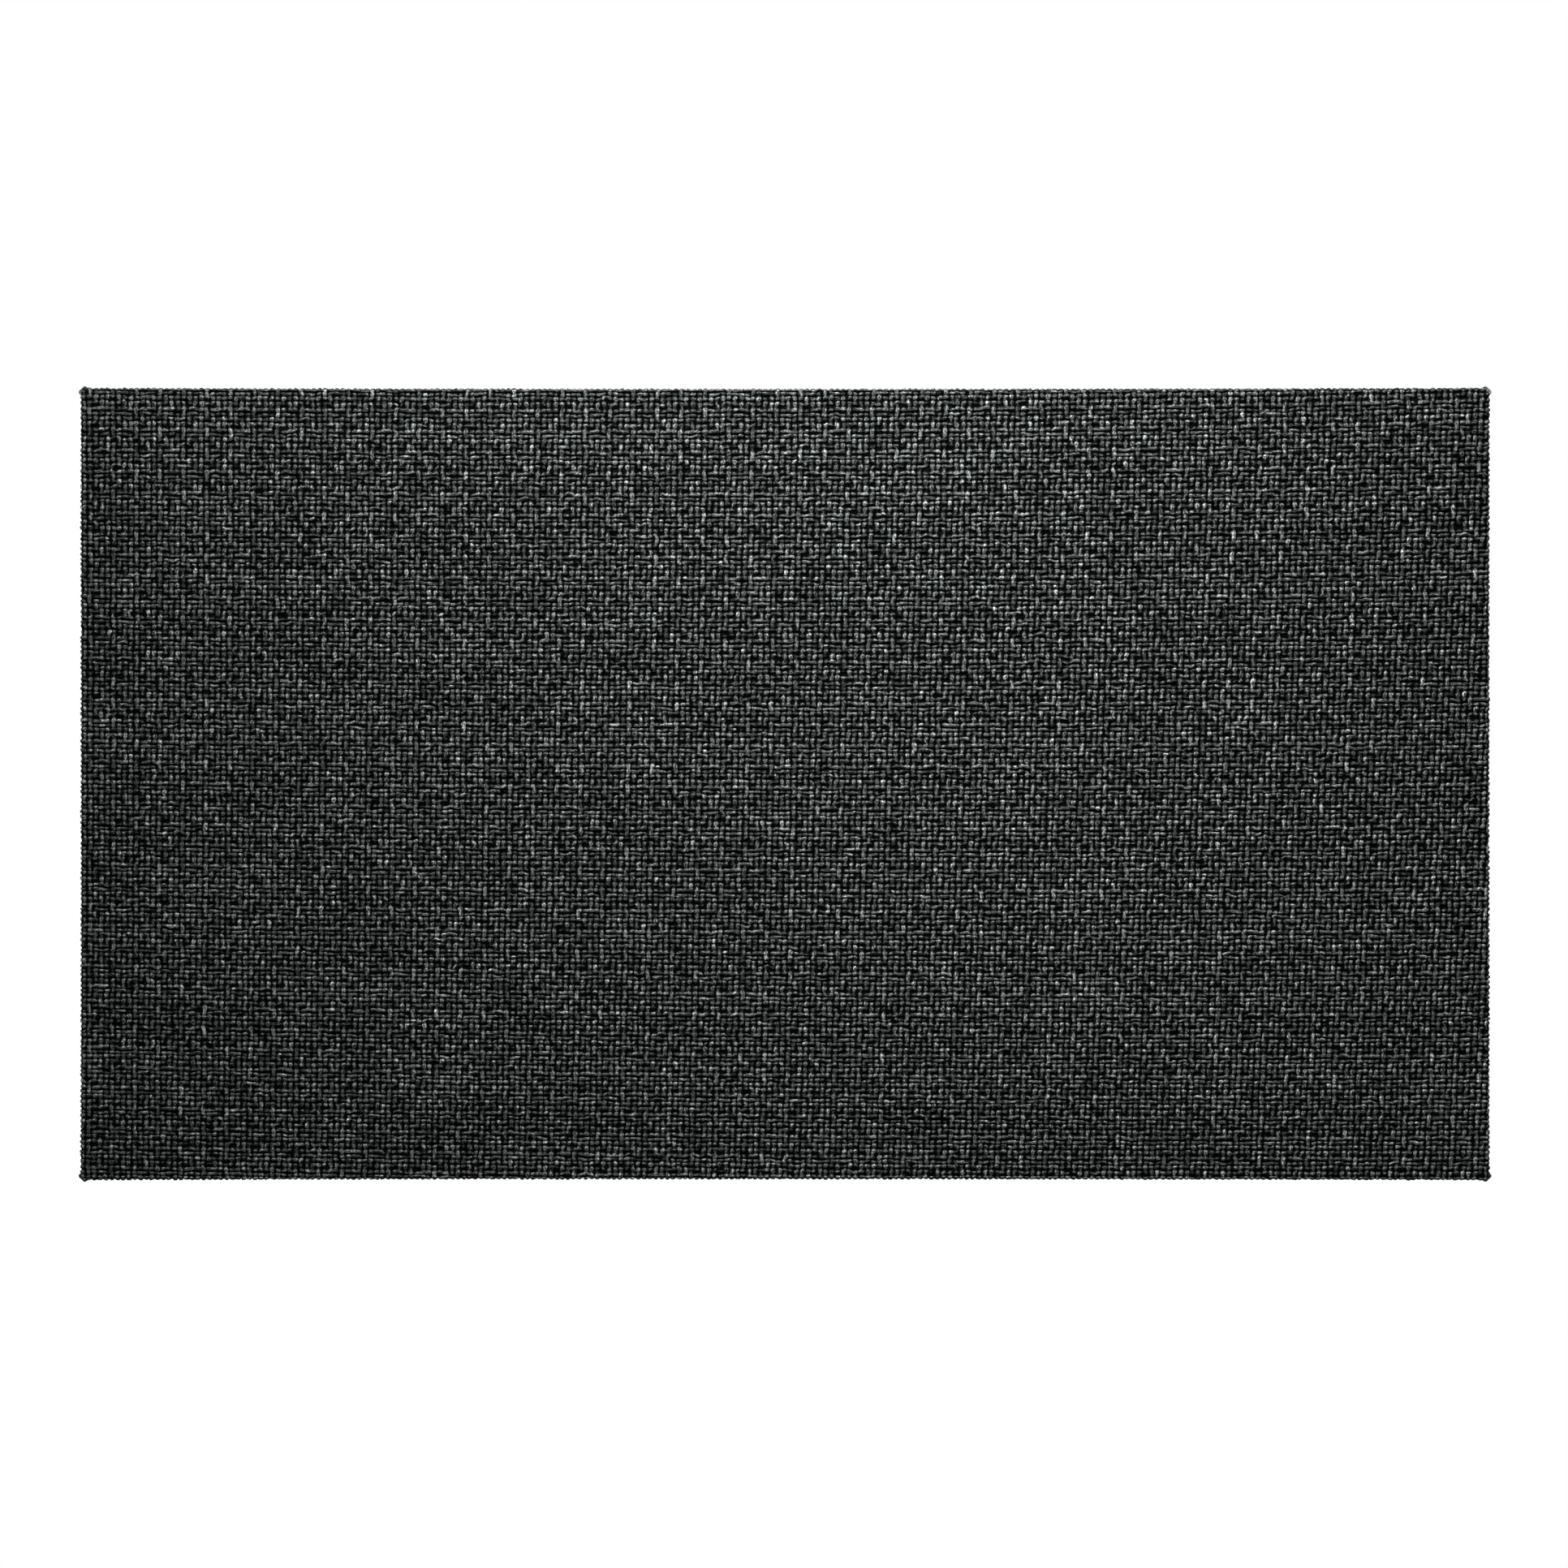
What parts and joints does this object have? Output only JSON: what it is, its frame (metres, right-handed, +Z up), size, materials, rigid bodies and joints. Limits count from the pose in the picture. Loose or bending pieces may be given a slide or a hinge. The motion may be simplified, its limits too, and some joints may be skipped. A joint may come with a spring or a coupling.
{
  "type": "wall punch pad",
  "caption": "Flat rectangular padded striking target wrapped in coarse charcoal woven cloth, hung on a wall by interlocking aluminium cleats so that it lifts off.",
  "frame": {"origin": "centre of the four outer wall screws, on the wall's surface, which the backs of the wall cleats touch", "axes": "+X to the right of someone who faces the pad, +Z up, and +Y into the wall, so that the striking face looks along -Y"},
  "size_m": [0.4, 0.064, 0.225],
  "materials": {
    "woven_cloth": "coarse crepe weave of thick charcoal melange yarn",
    "nonwoven_cloth": "thin black spun nonwoven with small bonded dots",
    "plywood": "sanded birch plywood, unpainted",
    "base_foam": "dense closed-cell foam, matte black",
    "core_foam": "bonded crumb foam, flecked",
    "face_foam": "soft open-cell foam",
    "felt": "needled white felt",
    "wall_cleat": "clear anodised, with fine drawing lines",
    "pad_cleat": "clear anodised, with fine drawing lines",
    "end_stop": "black nylon",
    "zinc_screws": "bright zinc plate",
    "yellow_zinc": "yellow zinc plate",
    "staple_wire": "galvanised wire",
    "bumper_rubber": "matte black moulded rubber"
  },
  "bodies": {
    "wall_mount": {"wall_cleat_upper": "wall_cleat", "wall_cleat_lower": "wall_cleat", "end_stop_left": "end_stop", "end_stop_right": "end_stop", "end_stop_screws": "zinc_screws"},
    "pad": {"backing_board": "plywood", "base_foam": "base_foam", "core_foam": "core_foam", "face_foam": "face_foam", "felt_wadding": "felt", "woven_cover": "woven_cloth", "cover_staples": "staple_wire", "dust_cover": "nonwoven_cloth", "dust_cover_staples": "staple_wire", "pad_cleat_upper": "pad_cleat", "pad_cleat_lower": "pad_cleat", "cleat_screws": "zinc_screws", "tee_nuts": "yellow_zinc", "bumper_upper_left": "bumper_rubber", "bumper_upper_right": "bumper_rubber", "bumper_lower_left": "bumper_rubber", "bumper_lower_right": "bumper_rubber", "bumper_screws": "zinc_screws"}
  },
  "joints": [
    {"name": "pad_lift", "type": "slide", "parent": "wall_mount", "child": "pad", "axis": [0, 0, 1], "range_m": [0, 0.016]}
  ]
}
